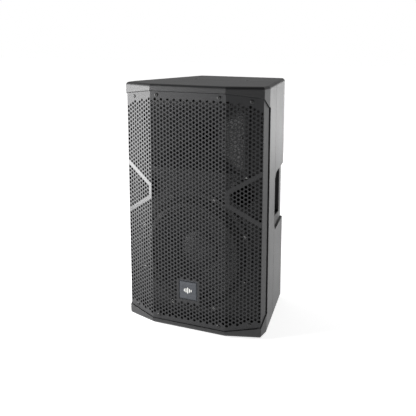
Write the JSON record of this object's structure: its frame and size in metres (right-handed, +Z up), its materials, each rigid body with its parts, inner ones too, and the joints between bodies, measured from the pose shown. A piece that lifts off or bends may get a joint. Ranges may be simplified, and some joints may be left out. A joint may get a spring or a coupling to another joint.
{
  "type": "pa speaker cabinet",
  "caption": "Self-powered two-way loudspeaker cabinet: moulded enclosure, wrap-round steel grille, woofer, horn, side handles and rear amplifier.",
  "frame": {"origin": "under the middle of the cabinet, on the surface that its feet stand on", "axes": "+X to the right of someone facing the grille, +Y from the grille to the back, +Z up"},
  "size_m": [0.364, 0.322, 0.603],
  "materials": {
    "shell_plastic": "fine moulded texture, satin black",
    "handle_plastic": "moulded texture, black",
    "seal_rubber": "matt black rubber",
    "zinc_steel": "zinc plated",
    "black_steel": "black oxide",
    "grille_steel": "black powder coat",
    "badge_metal": "dark satin with bright emblem",
    "port_plastic": "moulded black",
    "socket_metal": "black painted die casting",
    "frame_steel": "black painted pressed steel",
    "cone_paper": "ribbed pulp, dark grey",
    "surround_rubber": "doped cloth half roll",
    "spider_cloth": "resin treated cotton",
    "coil_wire": "enamelled copper wire",
    "motor_steel": "zinc plated steel",
    "ferrite": "sintered ferrite",
    "diaphragm_metal": "thin titanium, satin",
    "terminal_plastic": "black moulding",
    "panel_metal": "black powder coat",
    "heatsink_metal": "black anodised extrusion",
    "chassis_steel": "zinc plated sheet",
    "circuit_board": "green solder mask",
    "capacitor_sleeve": "shrink sleeve",
    "jack_plastic": "glass filled nylon, black",
    "rocker_plastic": "smooth black",
    "knob_plastic": "soft touch black with white pointer",
    "led_lens": "clear tinted",
    "lining_felt": "polyester wadding"
  },
  "bodies": {
    "cabinet": {"amp_chassis": "chassis_steel", "amp_gasket": "seal_rubber", "amp_panel": "panel_metal", "amp_screws": "black_steel", "badge": "badge_metal", "capacitors": "capacitor_sleeve", "combo_jack_1": "jack_plastic", "combo_jack_2": "jack_plastic", "damping_lining": "lining_felt", "front_shell": "shell_plastic", "grille": "grille_steel", "grille_screws": "black_steel", "handle_cup_left": "handle_plastic", "handle_cup_right": "handle_plastic", "heatsink": "heatsink_metal", "hf_magnet": "ferrite", "hf_pole_plate": "motor_steel", "hf_rear_cover": "port_plastic", "hf_top_plate": "motor_steel", "horn": "port_plastic", "horn_screws": "zinc_steel", "input_board": "circuit_board", "knob_pots": "terminal_plastic", "link_output": "jack_plastic", "mains_inlet": "jack_plastic", "phase_plug": "port_plastic", "pole_socket": "socket_metal", "pole_socket_screws": "zinc_steel", "port_tube_left": "port_plastic", "port_tube_right": "port_plastic", "power_board": "circuit_board", "rear_shell": "shell_plastic", "rigging_inserts": "zinc_steel", "rubber_feet": "seal_rubber", "shell_gasket": "seal_rubber", "shell_screws": "zinc_steel", "status_leds": "led_lens", "switch_bezel": "jack_plastic", "toroid": "coil_wire", "woofer_frame": "frame_steel", "woofer_gasket": "seal_rubber", "woofer_magnet": "ferrite", "woofer_screws": "zinc_steel", "woofer_spider": "spider_cloth", "woofer_surround": "surround_rubber", "woofer_terminals": "terminal_plastic", "woofer_top_plate": "motor_steel", "woofer_yoke": "motor_steel"},
    "woofer_cone_assembly": {"woofer_cone": "cone_paper", "dust_cap": "cone_paper", "voice_coil": "coil_wire"},
    "hf_diaphragm_assembly": {"hf_diaphragm": "diaphragm_metal", "hf_voice_coil": "coil_wire"},
    "gain_knob_1": {"gain_knob_1": "knob_plastic"},
    "gain_knob_2": {"gain_knob_2": "knob_plastic"},
    "level_knob": {"level_knob": "knob_plastic"},
    "preset_button": {"preset_button": "rocker_plastic"},
    "mains_rocker": {"mains_rocker": "rocker_plastic"}
  },
  "joints": [
    {"name": "cone_travel", "type": "slide", "parent": "cabinet", "child": "woofer_cone_assembly", "axis": [0, -1, 0], "range_m": [-0.006, 0.006], "stiffness_N_per_m": 3000, "deforming": ["woofer_surround", "woofer_spider"]},
    {"name": "diaphragm_travel", "type": "slide", "parent": "cabinet", "child": "hf_diaphragm_assembly", "axis": [0, -1, 0], "range_m": [-0.0003, 0.0003], "stiffness_N_per_m": 5000},
    {"name": "gain_knob_1_turn", "type": "hinge", "parent": "cabinet", "child": "gain_knob_1", "pos_m": [0, 0.15, 0.311], "axis": [0, 1, 0], "range_deg": [-150, 150]},
    {"name": "gain_knob_2_turn", "type": "hinge", "parent": "cabinet", "child": "gain_knob_2", "pos_m": [0, 0.15, 0.269], "axis": [0, 1, 0], "range_deg": [-150, 150]},
    {"name": "level_knob_turn", "type": "hinge", "parent": "cabinet", "child": "level_knob", "pos_m": [0.042, 0.15, 0.311], "axis": [0, 1, 0], "range_deg": [-150, 150]},
    {"name": "preset_press", "type": "slide", "parent": "cabinet", "child": "preset_button", "axis": [0, -1, 0], "range_m": [0, 0.0015], "stiffness_N_per_m": 400},
    {"name": "mains_rocker_tilt", "type": "hinge", "parent": "cabinet", "child": "mains_rocker", "pos_m": [0.032, 0.15, 0.155], "axis": [1, 0, 0], "range_deg": [-14, 0]}
  ]
}
